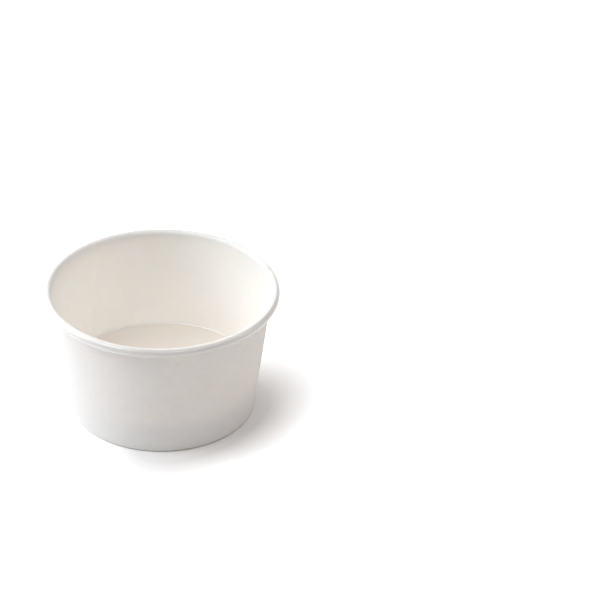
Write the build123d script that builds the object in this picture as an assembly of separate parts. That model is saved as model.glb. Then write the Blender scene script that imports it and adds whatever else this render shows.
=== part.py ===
from build123d import *
from math import asin, atan2, cos, degrees, hypot, radians, sin, tan
import os

# A squat paper sundae cup of about 200 ml, made from two paperboard blanks: a side blank that is wrapped into
# a cone, sealed on a lapped seam and rolled outward at the rim, and a round bottom blank whose edge is turned
# down into a skirt. The foot of the side wall is folded in and up round that skirt and pressed flat, so the
# cup stands on the fold and its floor is well above the table.
# Millimetres, +Z up. The origin is the centre of the foot, on the table.

# Overall sizes
rim_diameter = 92.0
cup_height = 52.0
base_diameter = 73.0
floor_height = 12.0

# Board: the side blank is the stiffer one, and each sealed pair of faces has a melted film between them
side_board = 0.36
bottom_board = 0.30
seal_film = 0.02

# Rolled rim: the edge of the board is tucked inside the roll and stays just clear of the wall
roll_diameter = 3.44
roll_gap = 0.06
tuck_angle = 90.0

# Hem: how far the folded board reaches up inside the foot, and the bevel that the fold leaves under the wall
hem_height = 7.0
fold_bevel = 0.2

# Bottom blank: the bend into the skirt, and the room left between the skirt's edge and the fold under the lap
skirt_bend = 0.7
skirt_edge_gap = 0.2

# Side seam, at the right towards the back: the width of the lap at the rim, the width of the step where the
# outer end climbs onto it, and where round the cup the inner end stops
lap_width = 6.5
climb_width = 1.2
seam_azimuth = 20.0

# The roll is drawn with flats, finer on its outside than inside, so that the model stays light
outside_flat_count = 9
inside_flat_count = 6
tuck_flat_count = 2

# Where the roll sits, in a plane through the axis: x is the radius and y the height
roll_radius = roll_diameter / 2
roll_x = rim_diameter / 2 - roll_radius
roll_y = cup_height - roll_radius
base_radius = base_diameter / 2

# The wall's outer face runs from the foot up to the roll, one board inside the roll's own circle
lean = atan2(roll_x - base_radius, roll_y)
taper = lean - asin((roll_radius - side_board) / hypot(roll_x - base_radius, roll_y))
pocket = bottom_board + 2 * seal_film


def wall_x(offset, height):
    """Radius of a line in the wall, this far outward of its inner face."""
    return base_radius + height * tan(taper) + (offset - side_board) / cos(taper)


def hem_x(offset, height):
    """Radius of a line in the hem, this far inward of the face that grips the skirt."""
    return wall_x(-pocket - offset, height)


def curl(centre, radius, start, sweep, flats):
    """Points on an arc, one at each end of every flat; angles in degrees."""
    angles = [radians(start + sweep * i / flats) for i in range(flats + 1)]
    return [(centre[0] + radius * cos(a), centre[1] + radius * sin(a)) for a in angles]


def roll_points(offset, thickness, flats):
    """One face of the rolled board, from the tucked edge round to the wall, which is this thick here."""
    tuck_radius = roll_radius - (thickness + roll_gap) / (1 + sin(taper))
    tuck_centre = (roll_x, roll_y - roll_radius + tuck_radius)
    tucked = curl(tuck_centre, tuck_radius - offset, -90 - tuck_angle, tuck_angle, tuck_flat_count)
    around = curl((roll_x, roll_y), roll_radius - offset, -90, 270 - degrees(taper), flats)
    return tucked[:-1] + around


def board_section(near, far, thickness):
    """Section of the side board between two of its faces, where the wall is this thick in all.

    The outermost layer lies on the table, and a layer under the lap is folded one board higher.
    """
    outer = roll_points(far, thickness, inside_flat_count)
    inner = roll_points(near, thickness, outside_flat_count)
    far_fold = thickness - far
    near_fold = thickness - near
    outer += [
        (wall_x(far, far_fold + fold_bevel), far_fold + fold_bevel),
        (wall_x(far, far_fold) - fold_bevel, far_fold),
        (hem_x(far, far_fold), far_fold),
        (hem_x(far, hem_height), hem_height),
    ]
    inner += [
        (wall_x(near, near_fold), near_fold),
        (hem_x(near, near_fold), near_fold),
        (hem_x(near, hem_height), hem_height),
    ]
    return Plane.XZ * make_face(Polyline(*outer, *reversed(inner), close=True))


def turned(section, azimuth):
    """A section carried round the axis to this azimuth."""
    return section.rotate(Axis.Z, azimuth)


def side_wall():
    """The wrapped and rolled side blank, with the lap of its two ends."""
    lap = degrees(lap_width / wall_x(0, roll_y))
    climb = degrees(climb_width / wall_x(0, roll_y))
    double = 2 * side_board
    single = board_section(0, side_board, side_board)
    beside_lap = board_section(0, side_board, double)
    climbed = board_section(side_board, double, double)
    both = board_section(0, double, double)

    inner_end = seam_azimuth
    outer_end = inner_end - lap
    plain_start = inner_end + climb
    plain_end = outer_end - climb

    plain = revolve(turned(single, plain_start), Axis.Z, 360 + plain_end - plain_start)
    narrowing = loft([turned(single, plain_end), turned(beside_lap, outer_end)], ruled=True)
    lapped = revolve(turned(both, outer_end), Axis.Z, lap)
    climbing = loft([turned(climbed, inner_end), turned(single, plain_start)], ruled=True)
    return plain + narrowing + lapped + climbing


def bottom_disc():
    """The bottom blank: a flat floor whose edge is turned down into the skirt that the hem holds."""
    skirt_foot = 2 * side_board + skirt_edge_gap
    under = floor_height - bottom_board
    bend_foot = floor_height - skirt_bend
    outside = -seal_film
    inside = outside - bottom_board
    outline = Polyline(
        (0, floor_height),
        (wall_x(outside, floor_height) - skirt_bend, floor_height),
        (wall_x(outside, bend_foot), bend_foot),
        (wall_x(outside, skirt_foot), skirt_foot),
        (wall_x(inside, skirt_foot), skirt_foot),
        (wall_x(inside, under), under),
        (0, under),
        close=True,
    )
    return revolve(Plane.XZ * make_face(outline), Axis.Z, 360)


os.makedirs("parts", exist_ok=True)
for name, shape in (("side_wall", side_wall()), ("bottom_disc", bottom_disc())):
    export_step(shape, f"parts/{name}.step")
    print(name, "volume", round(shape.volume, 1), "valid", shape.is_valid)
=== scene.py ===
# %% [markdown]
# # A paper cup, from two sheets of board
# This lesson dresses a finished CAD model of a paper sundae cup. The model has two pieces and fixes their
# sizes: a side blank that is wrapped into a cone, rolled outward at the rim and folded inward at the foot,
# and a bottom blank held in that fold. Here each sheet is made again with round bends instead of flats, and
# gets the surface of paperboard. First the imported model is loaded.

# %% Load the frame
from math import asin, atan2, cos, hypot, pi, radians, sin, tan

import bmesh
import bpy
from mathutils import Euler, Matrix, Vector


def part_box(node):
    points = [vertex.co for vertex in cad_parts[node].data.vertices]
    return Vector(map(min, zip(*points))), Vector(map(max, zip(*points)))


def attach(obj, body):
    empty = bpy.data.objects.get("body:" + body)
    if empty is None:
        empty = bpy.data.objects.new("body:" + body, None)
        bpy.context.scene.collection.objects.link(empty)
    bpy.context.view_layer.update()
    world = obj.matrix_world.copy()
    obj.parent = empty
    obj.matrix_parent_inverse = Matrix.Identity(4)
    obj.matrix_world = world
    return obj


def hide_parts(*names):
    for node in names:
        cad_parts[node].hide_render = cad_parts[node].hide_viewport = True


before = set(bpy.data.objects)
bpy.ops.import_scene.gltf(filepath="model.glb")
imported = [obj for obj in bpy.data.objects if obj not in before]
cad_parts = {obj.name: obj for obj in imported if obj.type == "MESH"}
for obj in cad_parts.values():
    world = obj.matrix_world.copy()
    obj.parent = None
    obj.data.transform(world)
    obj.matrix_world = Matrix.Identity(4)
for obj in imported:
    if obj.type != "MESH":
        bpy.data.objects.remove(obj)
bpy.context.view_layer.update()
print("CAD nodes:", sorted(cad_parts))

# %% [markdown]
# ## Sizes
# Everything is in metres, because Blender's lamps and camera distances are easiest to judge at real size.
# The overall sizes are read from the frame, so the looks follow the CAD model. The board and its bends
# are named here, once.

# %% Sizes of the cup
mm = 0.001
wall_low, wall_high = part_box("side_wall")
disc_low, disc_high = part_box("bottom_disc")

rim_radius = (wall_high.y - wall_low.y) / 2
cup_height = wall_high.z
floor_height = disc_high.z
skirt_foot = disc_low.z
base_radius = 36.5 * mm

side_board = 0.36 * mm
bottom_board = 0.30 * mm
seal_film = 0.02 * mm
roll_radius = 1.72 * mm
roll_gap = 0.06 * mm
hem_height = 7.0 * mm
lap_width = 6.5 * mm
climb_width = 1.2 * mm
seam_azimuth = radians(20)
for name, size in (("rim", 2 * rim_radius), ("height", cup_height), ("floor", floor_height)):
    print(f"{name} {size / mm:.1f} mm")

# %% [markdown]
# ## The camera
# The view comes from a camera that was fitted to the outline of the real cup: a long lens a metre away,
# looking down at about 32 degrees. It is written as four plain facts: how steeply it looks down, how it
# is rolled, how far off the centre of the foot is, and where in the 600 by 600 frame that centre lies.
# Its place follows from them.

# %% Camera
frame_pixels = 600
foot_pixel_x, foot_pixel_y = 162.2, 398.9
foot_depth = 1.0586
look_down = radians(31.77)
camera_roll = radians(1.43)

lens = bpy.data.cameras.new("photo_view")
lens.lens = 160
lens.sensor_width = 36
camera = bpy.data.objects.new("photo_view", lens)
bpy.context.scene.collection.objects.link(camera)
bpy.context.scene.camera = camera

pixel_slope = lens.sensor_width / lens.lens / frame_pixels
foot_in_view = foot_depth * Vector((
    (foot_pixel_x - frame_pixels / 2) * pixel_slope,
    (frame_pixels / 2 - foot_pixel_y) * pixel_slope,
    -1,
))
turn = Matrix.Rotation(pi / 2 - look_down, 3, "X") @ Matrix.Rotation(camera_roll, 3, "Z")
camera.matrix_world = Matrix.Translation(-(turn @ foot_in_view)) @ turn.to_4x4()
print("camera at", [round(v, 4) for v in camera.location])

# %% [markdown]
# ## Two surroundings
# The cup stands on white, in a picture whose background was cleared to pure white. More lamps would give
# that too, but they would burn the cup out. So the world gets two backgrounds: a weak and slightly warm
# one that lights the cup from all round, and a white one to be seen. Worlds and materials are built from
# code here, and two short helpers keep the wiring readable: one adds a node and sets its inputs by name,
# and one joins two sockets.

# %% World and node helpers
ambient_strength = 0.135
ambient_colour = (1, 0.97, 0.96, 1)
pure_white = (1, 1, 1, 1)

def add_node(tree, kind, **inputs):
    """A new node of this kind, with inputs set by name; underscores stand for spaces."""
    node = tree.nodes.new(kind)
    for name, value in inputs.items():
        node.inputs[name.replace("_", " ")].default_value = value
    return node

def join(tree, source, target):
    """Connects an output socket to an input socket."""
    tree.links.new(source, target)

world = bpy.data.worlds.new("white_surroundings")
world.use_nodes = True
sky_tree = world.node_tree
sky_tree.nodes.clear()
ambient = add_node(sky_tree, "ShaderNodeBackground", Color=ambient_colour, Strength=ambient_strength)
backdrop = add_node(sky_tree, "ShaderNodeBackground", Color=pure_white, Strength=1)
print("backgrounds of the world:", [node.name for node in sky_tree.nodes])

# %% [markdown]
# ## White for the camera alone
# Light Path tells the two surroundings apart: it knows whether a ray comes straight from the camera or is
# light that bounces around. Glossy and transmission rays are treated like the camera, so that reflections
# show the same white. A Mix Shader then chooses, and the ground will use the same choice.

# %% What the camera sees
def either_of(tree, first, second):
    """A socket that is 1 where one of two sockets is."""
    node = tree.nodes.new("ShaderNodeMath")
    node.operation = "MAXIMUM"
    join(tree, first, node.inputs[0])
    join(tree, second, node.inputs[1])
    return node.outputs[0]

def for_the_camera(tree, bounced, seen):
    """A shader that is one thing to the light that bounces around and another to the camera and mirrors."""
    rays = tree.nodes.new("ShaderNodeLightPath").outputs
    mirrors = either_of(tree, rays["Is Glossy Ray"], rays["Is Transmission Ray"])
    choice = tree.nodes.new("ShaderNodeMixShader")
    join(tree, either_of(tree, rays["Is Camera Ray"], mirrors), choice.inputs[0])
    join(tree, bounced, choice.inputs[1])
    join(tree, seen, choice.inputs[2])
    return choice.outputs[0]

sky = for_the_camera(sky_tree, ambient.outputs[0], backdrop.outputs[0])
join(sky_tree, sky, sky_tree.nodes.new("ShaderNodeOutputWorld").inputs["Surface"])
bpy.context.scene.world = world
bpy.context.scene.view_settings.view_transform = "Standard"
print("world:", len(sky_tree.nodes), "nodes and", len(sky_tree.links), "links")

# %% [markdown]
# ## The glow of the ground
# Close to the cup there is a soft shadow on the ground, and a hand's width away the picture is pure
# white. So the ground has a glow, which grows outward from a long oval under the shadow. A Mapping node
# of the kind Texture moves, turns and narrows the coordinates to that oval, and a Map Range turns the
# distance from its centre into a strength.

# %% Glow
glow_centre = (17 * mm, -14.5 * mm, 0)
glow_turn = radians(52)
glow_width = 0.54
glow_begins = 34 * mm
glow_is_full = 69 * mm
full_glow = 0.65

def empty_material(name):
    """A material with nothing but its output node."""
    material = bpy.data.materials.new(name)
    material.use_nodes = True
    material.node_tree.nodes.clear()
    return material, material.node_tree, material.node_tree.nodes.new("ShaderNodeOutputMaterial")

def glow_strength(tree):
    """A socket with the strength of the glow, which grows outward from a long oval beside the cup."""
    oval = add_node(
        tree, "ShaderNodeMapping",
        Location=glow_centre, Rotation=(0, 0, glow_turn), Scale=(1, glow_width, 1),
    )
    oval.vector_type = "TEXTURE"
    join(tree, tree.nodes.new("ShaderNodeTexCoord").outputs["Object"], oval.inputs["Vector"])
    distance = tree.nodes.new("ShaderNodeVectorMath")
    distance.operation = "LENGTH"
    join(tree, oval.outputs["Vector"], distance.inputs[0])
    ramp = add_node(
        tree, "ShaderNodeMapRange",
        From_Min=glow_begins, From_Max=glow_is_full, To_Min=0, To_Max=full_glow,
    )
    join(tree, distance.outputs["Value"], ramp.inputs["Value"])
    return ramp.outputs["Result"]

white_ground, ground_tree, ground_output = empty_material("white_ground")
glow = add_node(ground_tree, "ShaderNodeEmission", Color=pure_white)
join(ground_tree, glow_strength(ground_tree), glow.inputs["Strength"])
print(f"the glow is full {glow_is_full / mm:.0f} mm from the middle of the oval")

# %% [markdown]
# ## The paint of the ground
# To the light that bounces around, the ground is an ordinary matt white. For the camera the glow is added
# to it, so that the shadow stays and the ground beyond it is pure white.

# %% Ground paint
ground_colour = (0.95, 0.95, 0.95, 1)

matt = add_node(ground_tree, "ShaderNodeBsdfDiffuse", Color=ground_colour)
glowing = ground_tree.nodes.new("ShaderNodeAddShader")
join(ground_tree, matt.outputs[0], glowing.inputs[0])
join(ground_tree, glow.outputs[0], glowing.inputs[1])
ground_look = for_the_camera(ground_tree, matt.outputs[0], glowing.outputs[0])
join(ground_tree, ground_look, ground_output.inputs["Surface"])
print("white_ground:", len(ground_tree.nodes), "nodes")

# %% [markdown]
# ## The ground
# The ground is one round face, wide enough to fill the picture. Every finished bmesh becomes an object in
# the same way, so that step is a function from here on: it makes the mesh, gives it its materials, links
# the object at the origin and prints its size.

# %% Ground
ground_radius = 6.0
ground_corners = 96

def finished_object(name, mesh_in_work, materials):
    """Turns a bmesh into a linked object that sits at the origin."""
    mesh = bpy.data.meshes.new(name)
    mesh_in_work.to_mesh(mesh)
    mesh_in_work.free()
    for material in materials:
        mesh.materials.append(material)
    piece = bpy.data.objects.new(name, mesh)
    bpy.context.scene.collection.objects.link(piece)
    triangles = sum(len(face.vertices) - 2 for face in mesh.polygons)
    print(f"{name}: {len(mesh.vertices)} vertices, {triangles} triangles")
    return piece

ground_face = bmesh.new()
bmesh.ops.create_circle(ground_face, cap_ends=True, segments=ground_corners, radius=ground_radius)
ground = finished_object("ground", ground_face, [white_ground])

# %% [markdown]
# ## Light
# The shading in the photograph says where its light came from: a wide window at the left, which goes on
# round the back and lights the inside of the far right wall most, a little light returned by warm walls
# at the right and in front, and weak light from everywhere else. One big lamp would be too simple for
# such a window, so it is a row of softboxes in its place. A lamp is placed by compass direction and
# height above the horizon, because those two angles decide which side of the cup it lights. The rim light
# stands behind, as high as the camera, so that the top of the rolled rim mirrors it all round.

# %% Lamps
lamp_distance = 1.4
lamp_width = 0.6
cup_middle = Vector((0, 0, cup_height / 2))

def softbox(name, bearing, height, watts, colour):
    """A square area lamp seen from the cup at this bearing (0 is +X, 90 is +Y) and height, in degrees."""
    lamp = bpy.data.lights.new(name, "AREA")
    lamp.shape = "SQUARE"
    lamp.size = lamp_width
    lamp.energy = watts
    lamp.color = colour
    box = bpy.data.objects.new(name, lamp)
    away = Euler((0, -radians(height), radians(bearing))).to_matrix() @ Vector((1, 0, 0))
    box.location = cup_middle + lamp_distance * away
    box.rotation_euler = away.to_track_quat("Z", "Y").to_euler()
    bpy.context.scene.collection.objects.link(box)
    return box

white = (1, 1, 1)
cool = (0.93, 0.96, 1)
warm = (1, 0.91, 0.84)
half_warm = (1, 0.95, 0.91)
lamps = [
    softbox(name, bearing, height, watts, colour)
    for name, bearing, height, watts, colour in (
        ("window_foot", 180, 10, 2.3, cool),
        ("window_left", 180, 32, 6.8, cool),
        ("window_left_back", 150, 32, 2.95, cool),
        ("window_back", 120, 32, 4.0, white),
        ("window_top_back", 150, 56, 2.25, white),
        ("window_top_front", 210, 56, 4.5, white),
        ("rim_light", 90, 32, 1.6, white),
        ("front_light", 300, 56, 2.2, half_warm),
        ("right_wall", 0, 20, 2.0, warm),
        ("right_wall_top", 20, 56, 2.1, half_warm),
    )
]
print(f"{len(lamps)} lamps, {sum(box.data.energy for box in lamps):.1f} watts in all")

# %% [markdown]
# ## A pen for sheet profiles
# Seen in a cut through the axis, each sheet of the cup is one line that runs straight, bends on an arc
# and runs straight again. So the profile is drawn as with a pen: `ahead` extrudes the last point forward,
# and `bend` spins it round a centre at its side. Such a line keeps its bends truly round, and turning it
# about the axis makes the sheet. The cell ends with a trial: a quarter bend, which moves the tip by its
# radius both ways.

# %% The pen
class Pen:
    """Draws a line in the XZ plane; the heading is an angle from +X towards +Z."""

    def __init__(self, mesh, x, z, heading):
        self.mesh = mesh
        self.tip = mesh.verts.new((x, 0, z))
        self.heading = heading

    def ahead(self, length, steps=1):
        """Goes straight on, in equal steps."""
        step = Vector((cos(self.heading), 0, sin(self.heading))) * length / steps
        for _ in range(steps):
            grown = bmesh.ops.extrude_vert_indiv(self.mesh, verts=[self.tip])["verts"]
            bmesh.ops.translate(self.mesh, verts=grown, vec=step)
            self.tip = grown[0]

    def bend(self, radius, angle, steps):
        """Turns left for a positive angle and right for a negative one."""
        side = 1 if angle > 0 else -1
        centre = self.tip.co + side * radius * Vector((-sin(self.heading), 0, cos(self.heading)))
        arc = bmesh.ops.spin(
            self.mesh, geom=[self.tip], cent=centre, axis=(0, -1, 0), angle=angle, steps=steps
        )
        self.tip = arc["geom_last"][0]
        self.heading += angle

trial = bmesh.new()
trial_pen = Pen(trial, x=0, z=0, heading=0)
trial_pen.bend(roll_radius, pi / 2, steps=4)
print("a quarter of the roll moves the pen by", [round(v / mm, 2) for v in trial_pen.tip.co], "mm")
trial.free()

# %% [markdown]
# ## The lean of the wall
# The wall runs from the foot up to the roll and touches the roll's circle, so its lean isn't free: it
# follows from the rim, the foot, the height and the size of the roll. The same few lines of trigonometry
# stand in the CAD source.

# %% Where the wall runs
roll_x = rim_radius - roll_radius
roll_z = cup_height - roll_radius
lean = atan2(roll_x - base_radius, roll_z)
taper = lean - asin((roll_radius - side_board) / hypot(roll_x - base_radius, roll_z))
pocket = bottom_board + 2 * seal_film

def wall_x(outward, z):
    """Radius at this height of a line in the wall that lies this far outward of the wall's inner face."""
    return base_radius + z * tan(taper) + (outward - side_board) / cos(taper)

print(f"the wall leans out by {taper * 180 / pi:.2f} degrees")

# %% [markdown]
# ## The profile of the side blank
# The line below is the coated face of the board: the inside of the cup, which rolling turns to the
# outside of the rim. It starts at the edge that is tucked inside the roll, goes round the roll, down the
# wall, through the two tight bends of the fold and up the hem. Under the lap there are two layers. The
# inner one (`outward` 0) is folded one board higher, and the outer one lies one board further out, with
# the tucked edge closed up to leave room for both. One trial line is measured, because its length is the
# width of the flat blank.

# %% Profile of one layer
fold_radius = 0.15 * mm
tuck_turn = radians(90)
tuck_steps = 8
roll_steps = 36
wall_rows = 14
fold_steps = 5
hem_rows = 5

def draw_layer(mesh, outward, layers):
    """The coated face of a layer that lies this far outward, where the board is `layers` thick in all."""
    tuck_radius = roll_radius - (layers + roll_gap) / (1 + sin(taper))
    height_of_fold = layers - outward
    first_turn = pi / 2 - taper
    second_turn = pi / 2 + taper
    first_cut = fold_radius * tan(first_turn / 2)
    second_cut = fold_radius * tan(second_turn / 2)
    pen = Pen(
        mesh,
        x=roll_x - tuck_radius + outward,
        z=roll_z - roll_radius + tuck_radius,
        heading=-pi / 2,
    )
    pen.bend(tuck_radius - outward, tuck_turn, tuck_steps)
    pen.bend(roll_radius - outward, 1.5 * pi - taper, roll_steps)
    pen.ahead((pen.tip.co.z - height_of_fold) / cos(taper) - first_cut, wall_rows)
    pen.bend(fold_radius, -first_turn, fold_steps)
    pen.ahead((pocket + 2 * outward) / cos(taper) - first_cut - second_cut)
    pen.bend(fold_radius, -second_turn, fold_steps)
    pen.ahead((hem_height - height_of_fold) / cos(taper) - second_cut, hem_rows)

trial = bmesh.new()
draw_layer(trial, outward=0, layers=side_board)
print(f"flat, the side blank is {sum(edge.calc_length() for edge in trial.edges) / mm:.1f} mm wide")
trial.free()

# %% [markdown]
# ## Wrapping the side blank
# A full turn of one profile would make a tube with no seam. The real blank is a strip whose ends overlap,
# so three profiles are spun: the inner end of the lap, the outer end over it, and the plain wall.
# Bridging their end lines gives the two narrow slopes where the board climbs over its own edge. One sheet
# runs through all of them.

# %% Spin the three stretches
full_turn = 2 * pi
lap = lap_width / wall_x(0, roll_z)
climb = climb_width / wall_x(0, roll_z)
plain_steps = 250
lap_steps = 6
both_layers = 2 * side_board + seal_film

def spin_layer(mesh, outward, layers, start, angle, steps):
    """Spins a layer's profile and returns the edges of its first and last lines."""
    known = set(mesh.verts)
    draw_layer(mesh, outward, layers)
    profile = [vertex for vertex in mesh.verts if vertex not in known]
    bmesh.ops.rotate(mesh, verts=profile, cent=(0, 0, 0), matrix=Matrix.Rotation(start, 3, "Z"))
    edges = list({edge for vertex in profile for edge in vertex.link_edges})
    swept = bmesh.ops.spin(
        mesh, geom=profile + edges, cent=(0, 0, 0), axis=(0, 0, 1), angle=angle, steps=steps
    )
    last = [item for item in swept["geom_last"] if isinstance(item, bmesh.types.BMEdge)]
    return edges, last

sheet = bmesh.new()
lap_start = seam_azimuth - lap
plain_start = seam_azimuth + climb
plain_angle = full_turn - lap - 2 * climb
inner_first, _ = spin_layer(sheet, 0, both_layers, lap_start, lap, lap_steps)
_, outer_last = spin_layer(sheet, side_board + seal_film, both_layers, lap_start, lap, lap_steps)
plain_first, plain_last = spin_layer(sheet, 0, side_board, plain_start, plain_angle, plain_steps)
bmesh.ops.bridge_loops(sheet, edges=plain_last + inner_first)
bmesh.ops.bridge_loops(sheet, edges=outer_last + plain_first)
print("side sheet:", len(sheet.verts), "vertices,", len(sheet.faces), "faces")

# %% [markdown]
# ## Giving the sheet its thickness
# `solidify` keeps the drawn faces and puts the new ones behind them, on the side away from their normals.
# So the normals are settled first, while the sheet is still open: on the coated face of the wall they
# point to the axis. Then the faces get their material numbers: the coated face, the bare face behind it
# and the cut edges of the board are told apart by how solidify made them.

# %% Thickness
# The last two numbers mark faces whose colours paint shade: the fold at the foot and the rolled rim.
COATED, BARE, CUT, FOLD_SHADE, ROLL_SHADE = range(5)

def face_the_axis(mesh, height):
    """Turns all faces over if a face at this height looks away from the axis."""
    bmesh.ops.recalc_face_normals(mesh, faces=mesh.faces)
    probe = min(mesh.faces, key=lambda face: abs(face.calc_center_median().z - height))
    outward = probe.calc_center_median() * Vector((1, 1, 0))
    if probe.normal.dot(outward) > 0:
        bmesh.ops.reverse_faces(mesh, faces=mesh.faces)

def report_closed(mesh):
    """Prints whether every edge of the mesh has a face on both sides."""
    print("closed:", all(len(edge.link_faces) == 2 for edge in mesh.edges))

def thicken(mesh, thickness):
    """Adds the face behind and the cut edges, and numbers the materials."""
    drawn = set(mesh.faces)
    behind = set(bmesh.ops.solidify(mesh, geom=list(mesh.faces), thickness=thickness)["geom"])
    for face in mesh.faces:
        face.smooth = True
        if face in drawn:
            face.material_index = COATED
        elif face in behind:
            face.material_index = BARE
        else:
            face.material_index = CUT
    for edge in mesh.edges:
        if len(edge.link_faces) == 2:
            kinds = {face.material_index for face in edge.link_faces}
            edge.smooth = CUT not in kinds or len(kinds) == 1
    report_closed(mesh)

face_the_axis(sheet, cup_height / 2)
thicken(sheet, side_board)

# %% [markdown]
# ## The fold and the roll
# Two parts of the sheet get colours that paint shade. The fold at the foot is dark, which paints the
# contact shadow where the cup meets the ground. The top and outside of the rolled rim are glossier and
# greyer, and the grey paints shade on the rim's underside. They are found by where they lie, and get
# numbers of their own.

# %% Number the bends
# Painted shade: the bare faces below this height get the dark colour of the contact shadow at the foot, and
# the coated faces beyond the roll's limit get the rim's greyer tone.
fold_shade_top = 0.45 * mm
roll_shade_begins = roll_x - 0.6 * mm

for face in sheet.faces:
    centre = face.calc_center_median()
    if face.material_index == BARE and centre.z < fold_shade_top:
        face.material_index = FOLD_SHADE
    if face.material_index == COATED and hypot(centre.x, centre.y) > roll_shade_begins:
        face.material_index = ROLL_SHADE

for kind, number in (("fold", FOLD_SHADE), ("roll", ROLL_SHADE)):
    print(kind, "faces:", sum(face.material_index == number for face in sheet.faces))

# %% [markdown]
# ## The knurl in the foot
# A knurled wheel presses the hem against the skirt inside the foot, and leaves a band of small pockets
# there. The band already has one face for each pocket, so `inset_individual` can make them all in one
# call: it shrinks each face inside its own outline and pushes it in by the depth of the pocket.

# %% Press the knurl
knurl_low = 2.2 * mm
knurl_high = 6.0 * mm
knurl_depth = 0.07 * mm
knurl_land = 0.14 * mm

def looks_at_axis(face):
    """True for a face whose normal points towards the cup's axis."""
    return face.normal.dot(face.calc_center_median() * Vector((1, 1, 0))) < 0

pockets = [
    face for face in sheet.faces
    if face.material_index == BARE and looks_at_axis(face)
    and knurl_low < face.calc_center_median().z < knurl_high
]
bmesh.ops.inset_individual(sheet, faces=pockets, thickness=knurl_land, depth=-knurl_depth)
print("pockets in the knurl:", len(pockets))

# %% [markdown]
# ## The surface of paperboard
# Paperboard looks white and smooth from a step away, but its surface is a felt of fibres: it is a little
# cloudy, it scatters light evenly, and pressing it into shape leaves very shallow hollows. Three noises
# of different size make that: one for the fibres, one for the cloudiness and one for the hollows. They
# read Object coordinates, so they are in real metres and don't jump at the seam.

# %% Board surface
hollow_size = 12 * mm
cloud_size = 2.6 * mm
fibre_size = 0.6 * mm
hollow_depth = 0.12 * mm
cloud_depth = 0.12 * mm

def noise(tree, place, size, detail=3):
    """Noise whose lumps are about this size in metres."""
    texture = add_node(tree, "ShaderNodeTexNoise", Scale=1 / size, Detail=detail, Roughness=0.55)
    join(tree, place, texture.inputs["Vector"])
    return texture.outputs["Fac"]

def bump(tree, height, depth, before=None):
    """A bump of this depth in metres, on top of an earlier one."""
    node = add_node(tree, "ShaderNodeBump", Strength=1, Distance=depth)
    join(tree, height, node.inputs["Height"])
    if before is not None:
        join(tree, before, node.inputs["Normal"])
    return node.outputs["Normal"]

def board_surface(tree, fibre_depth):
    """Two sockets: the clouds of the board, and the normal of its hollows, clouds and fibres."""
    place = tree.nodes.new("ShaderNodeTexCoord").outputs["Object"]
    cloud = noise(tree, place, cloud_size, detail=6)
    hollows = bump(tree, noise(tree, place, hollow_size), hollow_depth)
    felt = bump(tree, cloud, cloud_depth, hollows)
    return cloud, bump(tree, noise(tree, place, fibre_size, detail=5), fibre_depth, felt)

for name, size in (("hollows", hollow_size), ("clouds", cloud_size), ("fibres", fibre_size)):
    print(f"{name} of about {size / mm:.1f} mm")

# %% [markdown]
# ## Board as a material
# The board is thin enough to let a little light through, red a little further than blue, so the shader
# gets a short reach. One function makes every finish of the board, and its numbers are the differences
# between them. The first two are the coated sides of the blanks, where the film on the board is a faint
# coat over it.

# %% Coated board
light_reach = (1.0, 0.92, 0.84)
reach_scale = 0.3 * mm
coat_roughness = 0.22
dark_below, light_above = 0.30, 0.70

def board_material(name, light, dark, rough, fibre_depth, coat=0, reach=reach_scale, gloss=0.35):
    """Paperboard whose colour drifts between two close tones."""
    material, tree, output = empty_material(name)
    shader = add_node(
        tree, "ShaderNodeBsdfPrincipled", Roughness=rough, Specular_IOR_Level=gloss,
        Subsurface_Weight=1 if reach else 0, Subsurface_Radius=light_reach, Subsurface_Scale=reach,
        Coat_Weight=coat, Coat_Roughness=coat_roughness,
    )
    cloud, normal = board_surface(tree, fibre_depth)
    tones = tree.nodes.new("ShaderNodeValToRGB")
    tones.color_ramp.elements[0].position = dark_below
    tones.color_ramp.elements[0].color = dark
    tones.color_ramp.elements[1].position = light_above
    tones.color_ramp.elements[1].color = light
    join(tree, cloud, tones.inputs["Fac"])
    join(tree, tones.outputs["Color"], shader.inputs["Base Color"])
    join(tree, normal, shader.inputs["Normal"])
    join(tree, shader.outputs[0], output.inputs["Surface"])
    return material

coated_side = board_material(
    "coated_board", light=(0.965, 0.939, 0.904, 1), dark=(0.95, 0.924, 0.889, 1),
    rough=0.5, fibre_depth=0.012 * mm, coat=0.1,
)
# Painted shade: the bottom's coated side is darker and warmer than the wall's, which darkens the floor at
# the bottom of the cup.
coated_bottom_painted_shade = board_material(
    "coated_bottom_painted_shade", light=(0.925, 0.862, 0.80, 1), dark=(0.91, 0.847, 0.785, 1),
    rough=0.5, fibre_depth=0.012 * mm, coat=0.1,
)
print("coated:", coated_side.name, "and", coated_bottom_painted_shade.name)

# %% [markdown]
# ## The other finishes
# The outer face is bare board: rougher, and with deeper fibres. The cut edges are darker and rougher still.
# The fold at the foot is rough, and its dark colour is painted shade: the contact shadow along the ground.
# The curling tool rubs the rim smooth, so the roll is glossier; its greyer tone is painted shade on the
# rim's underside. The two lists at the end have the order of the numbers that the faces were given.

# %% Bare board, cut edges, fold and rim
bare_side = board_material(
    "outer_board", light=(0.875, 0.858, 0.843, 1), dark=(0.85, 0.833, 0.818, 1),
    rough=0.7, fibre_depth=0.06 * mm,
)
cut_edge = board_material(
    "cut_board", light=(0.80, 0.77, 0.72, 1), dark=(0.70, 0.66, 0.60, 1),
    rough=0.85, fibre_depth=0.03 * mm,
)
# Painted shade: the fold's dark colour stands for the contact shadow where the foot meets the ground.
fold_contact_shade = board_material(
    "fold_contact_shade", light=(0.50, 0.46, 0.42, 1), dark=(0.42, 0.38, 0.34, 1),
    rough=0.85, fibre_depth=0.03 * mm, reach=0,
)
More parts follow.
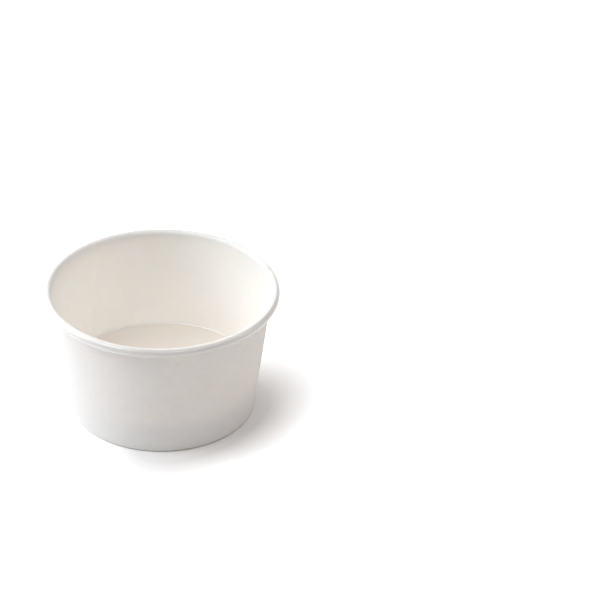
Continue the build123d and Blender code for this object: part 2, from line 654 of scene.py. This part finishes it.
# Painted shade: the roll's greyer tone darkens the shaded underside of the rim; its gloss comes from the
# coat and low roughness.
glossy_rim_painted_shade = board_material(
    "glossy_rim_painted_shade", light=(0.745, 0.725, 0.705, 1), dark=(0.733, 0.713, 0.693, 1),
    rough=0.3, fibre_depth=0.006 * mm, coat=1, reach=0, gloss=0.8,
)
side_materials = [coated_side, bare_side, cut_edge, fold_contact_shade, glossy_rim_painted_shade]
bottom_materials = [coated_bottom_painted_shade, bare_side, cut_edge]
print("finishes of the side board:", [material.name for material in side_materials])

# %% [markdown]
# ## The finished side
# The sheet becomes an object. It rides on the cup's one body and takes the place of the CAD wall.

# %% Side wall
side = finished_object("wrapped_side", sheet, side_materials)
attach(side, "root")
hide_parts("side_wall")

# %% [markdown]
# ## The bottom blank
# The bottom is pressed from a round blank: flat in the middle, with its edge bent down into a skirt that
# runs along the wall. The pen draws its upper face from the axis outward, and a full spin with merging
# closes it. Where the line starts on the axis the spin leaves many points in one place, so doubles are
# merged before the sheet is thickened.

# %% Bottom
bend_radius = 0.55 * mm
bend_steps = 8
floor_rings = 10
skirt_rows = 3

def turn_all_round(mesh):
    """Spins what is drawn in a mesh once about the cup's axis, and closes it."""
    bmesh.ops.spin(
        mesh, geom=mesh.verts[:] + mesh.edges[:], cent=(0, 0, 0), axis=(0, 0, 1),
        angle=full_turn, steps=plain_steps, use_merge=True,
    )

bottom = bmesh.new()
skirt_turn = pi / 2 + taper
corner = wall_x(-seal_film, floor_height)
bend_cut = bend_radius * tan(skirt_turn / 2)
pen = Pen(bottom, x=0, z=floor_height, heading=0)
pen.ahead(corner - bend_cut, floor_rings)
pen.bend(bend_radius, -skirt_turn, bend_steps)
pen.ahead((floor_height - skirt_foot) / cos(taper) - bend_cut, skirt_rows)
turn_all_round(bottom)
bmesh.ops.remove_doubles(bottom, verts=bottom.verts, dist=seal_film / 10)
bmesh.ops.recalc_face_normals(bottom, faces=bottom.faces)
if max(bottom.faces, key=lambda face: face.calc_center_median().z).normal.z < 0:
    bmesh.ops.reverse_faces(bottom, faces=bottom.faces)
thicken(bottom, bottom_board)

floor = finished_object("pressed_bottom", bottom, bottom_materials)
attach(floor, "root")
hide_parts("bottom_disc")

# %% [markdown]
# ## The film in the corner
# Heat seals the two blanks: the thin plastic film on the board melts and gathers where the floor meets
# the wall. It shows as a fine line, bright only at the right, where it mirrors the window. Its section
# has three sides: a hollow fillet from the floor to the wall, the round of the floor's bend under it, and
# the wall behind it. Two pens draw it, and a full spin closes the ring.

# %% Corner film
film_depth_turn = radians(55)
hollow_steps = 7
under_steps = 5
sharp_angle = radians(40)

ring = bmesh.new()
film_start = corner - bend_cut
film_reach = wall_x(0, floor_height) - film_start
wall_turn = pi / 2 - taper
top = Pen(ring, x=film_start, z=floor_height, heading=0)
top.bend(film_reach / tan(wall_turn / 2), wall_turn, hollow_steps)
under = Pen(ring, x=film_start, z=floor_height, heading=0)
under.bend(bend_radius, -film_depth_turn, under_steps)
under.heading = 0
under.ahead(wall_x(0, under.tip.co.z) - under.tip.co.x)
under.heading = wall_turn
under.ahead((top.tip.co - under.tip.co).length)
bmesh.ops.remove_doubles(ring, verts=ring.verts, dist=seal_film / 4)
turn_all_round(ring)
bmesh.ops.recalc_face_normals(ring, faces=ring.faces)
for face in ring.faces:
    face.smooth = True
for edge in ring.edges:
    edge.smooth = edge.calc_face_angle(0) < sharp_angle
report_closed(ring)

# %% [markdown]
# ## The finish of the film
# The film is a clear plastic over pale board, so it has nearly the board's colour and a smooth, shiny
# face. It is sealed to both sheets. It rides on the same body and takes no CAD node's place.

# %% Film material
film_colour = (0.915, 0.885, 0.845, 1)

melted_film, film_tree, film_output = empty_material("melted_film")
film_shader = add_node(
    film_tree, "ShaderNodeBsdfPrincipled", Base_Color=film_colour, Roughness=0.2, Specular_IOR_Level=1
)
join(film_tree, film_shader.outputs[0], film_output.inputs["Surface"])

film = finished_object("corner_film", ring, [melted_film])
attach(film, "root")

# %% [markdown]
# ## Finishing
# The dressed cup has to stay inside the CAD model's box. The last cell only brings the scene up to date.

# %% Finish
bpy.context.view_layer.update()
